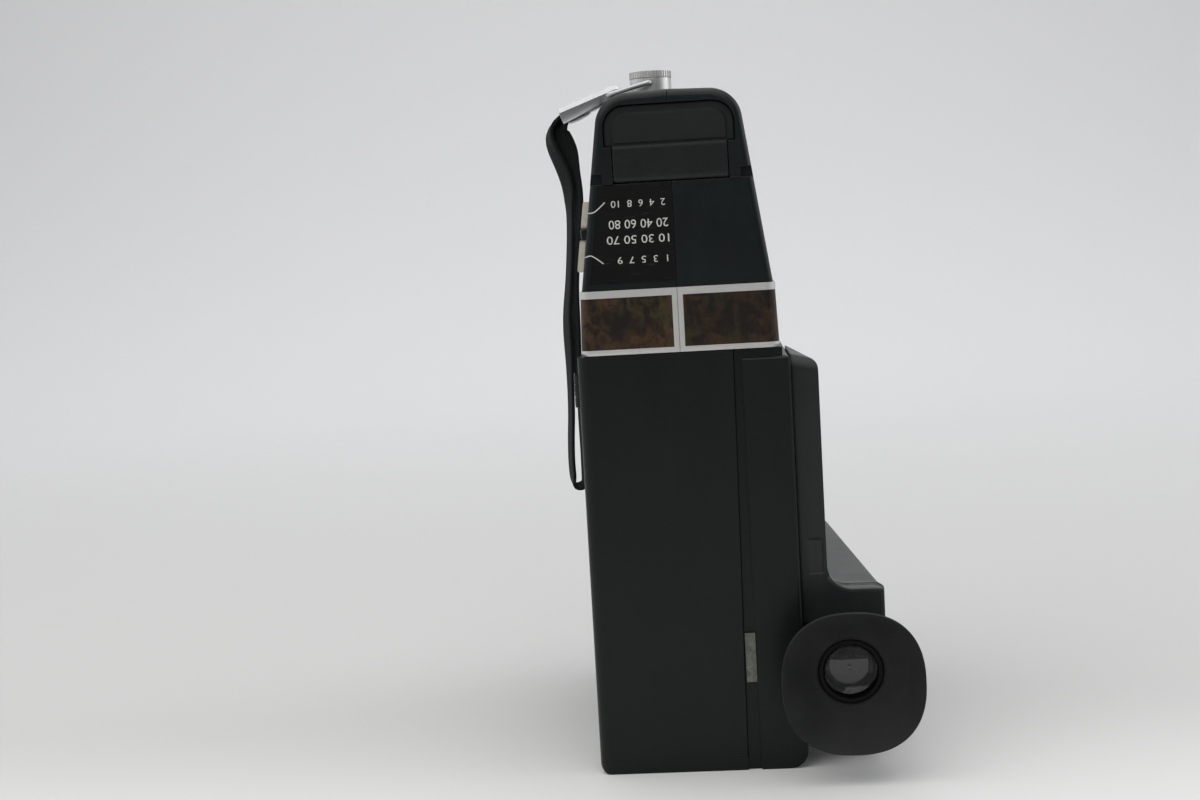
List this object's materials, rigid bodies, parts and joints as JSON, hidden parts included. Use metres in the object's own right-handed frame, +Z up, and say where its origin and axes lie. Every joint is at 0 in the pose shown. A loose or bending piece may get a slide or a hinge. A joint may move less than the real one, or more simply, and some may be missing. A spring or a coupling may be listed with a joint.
{
  "type": "sound movie camera",
  "caption": "Cartridge sound movie camera with a flat top, film door, wood-grain trim band, tapered battery grip, side finder with rubber eyecup and wrist strap.",
  "frame": {"origin": "on the flat top face on which the camera stands upside down, in the middle of the housing's depth and in the seam plane of the grip", "axes": "+Z up from the standing face towards the end of the grip, +Y towards the lens, +X to the right of a viewer who stands behind the camera"},
  "size_m": [0.1285, 0.184, 0.2629],
  "materials": {
    "housing": "fine-textured dark green-black moulding",
    "inner_moulding": "matt black",
    "grip": "fine-textured dark green-black moulding",
    "trim_metal": "satin",
    "wood_grain": "printed burl wood grain under gloss",
    "label": "semi-gloss black",
    "cream_plastic": "smooth",
    "grey_metal": "satin grey",
    "bright_metal": "satin nickel",
    "steel": "plain",
    "brass": "plain",
    "rubber": "matt",
    "glass": "coated",
    "strap": "woven nylon",
    "cell": "printed sleeve",
    "circuit": "laminate",
    "trigger_plastic": "smooth"
  },
  "bodies": {
    "camera_body": {"body_shell": "housing", "finder_housing": "housing", "film_chamber": "inner_moulding", "front_plate": "inner_moulding", "lens_barrel": "inner_moulding", "eyepiece_tube": "inner_moulding", "trigger_switch": "inner_moulding", "grip_shell_left": "grip", "grip_shell_right": "grip", "trim_frame_left": "trim_metal", "trim_frame_right": "trim_metal", "wood_panel_left": "wood_grain", "wood_panel_right": "wood_grain", "label_plate": "label", "swivel_collar": "bright_metal", "microphone_jack": "bright_metal", "earphone_jack": "bright_metal", "film_gate": "steel", "sound_head": "steel", "pinch_pin": "steel", "door_hinge_pins": "steel", "battery_contacts": "steel", "drive_motor": "steel", "tripod_socket": "brass", "eyecup": "rubber", "front_lens": "glass", "eye_lens": "glass", "finder_window": "glass", "counter_window": "glass", "meter_window": "glass", "circuit_board": "circuit", "battery_cell_1": "cell", "battery_cell_2": "cell", "battery_cell_3": "cell", "battery_cell_4": "cell", "battery_cell_5": "cell", "battery_cell_6": "cell"},
    "film_door": {"film_door": "housing", "film_door_spring": "steel"},
    "latch": {"latch_tab": "grey_metal"},
    "battery_door": {"battery_door": "grip", "door_contacts": "steel"},
    "rocker": {"microphone_rocker": "cream_plastic"},
    "trigger": {"trigger": "trigger_plastic"},
    "focus_ring": {"focus_ring": "inner_moulding"},
    "take_up": {"take_up_spindle": "inner_moulding", "take_up_gear": "brass"},
    "capstan": {"capstan": "steel", "flywheel": "brass"},
    "pinch_roller": {"pinch_roller": "rubber"},
    "thumb_screw": {"thumb_screw": "bright_metal"},
    "strap": {"strap_bail": "bright_metal", "strap_clamp": "bright_metal", "wrist_strap": "strap"}
  },
  "joints": [
    {"name": "film_door_hinge", "type": "hinge", "parent": "camera_body", "child": "film_door", "pos_m": [-0.0373, -0.0672, 0.08], "axis": [0, 0, -1], "range_deg": [0, 90]},
    {"name": "latch_slide", "type": "slide", "parent": "camera_body", "child": "latch", "axis": [0, 0, -1], "range_m": [0, 0.004], "stiffness_N_per_m": 120, "springref_m": -0.001},
    {"name": "battery_door_hinge", "type": "hinge", "parent": "camera_body", "child": "battery_door", "pos_m": [0, -0.074, 0.2236], "axis": [1, 0, 0], "range_deg": [0, 90]},
    {"name": "rocker_tilt", "type": "hinge", "parent": "camera_body", "child": "rocker", "pos_m": [-0.03112, -0.066, 0.20395], "axis": [0, 1, 0], "range_deg": [-4, 4]},
    {"name": "trigger_slide", "type": "slide", "parent": "camera_body", "child": "trigger", "axis": [0, -1, 0], "range_m": [0, 0.0035], "stiffness_N_per_m": 400, "springref_m": -0.001},
    {"name": "focus_turn", "type": "hinge", "parent": "camera_body", "child": "focus_ring", "pos_m": [0, 0.08, 0.044], "axis": [0, 1, 0], "range_deg": [-60, 60]},
    {"name": "take_up_spin", "type": "hinge", "parent": "camera_body", "child": "take_up", "pos_m": [0.015, -0.033, 0.044], "axis": [1, 0, 0], "continuous": true},
    {"name": "capstan_spin", "type": "hinge", "parent": "camera_body", "child": "capstan", "pos_m": [0.015, -0.001, 0.088], "axis": [1, 0, 0], "continuous": true},
    {"name": "pinch_spin", "type": "hinge", "parent": "camera_body", "child": "pinch_roller", "pos_m": [-0.002, -0.0071, 0.088], "axis": [1, 0, 0], "continuous": true},
    {"name": "thumb_screw_turn", "type": "hinge", "parent": "camera_body", "child": "thumb_screw", "pos_m": [-0.0063, -0.053, 0.258], "axis": [0, 0, 1], "continuous": true},
    {"name": "strap_swing", "type": "hinge", "parent": "camera_body", "child": "strap", "pos_m": [-0.0063, -0.053, 0.2585], "axis": [0, 1, 0], "range_deg": [0, 100]}
  ]
}
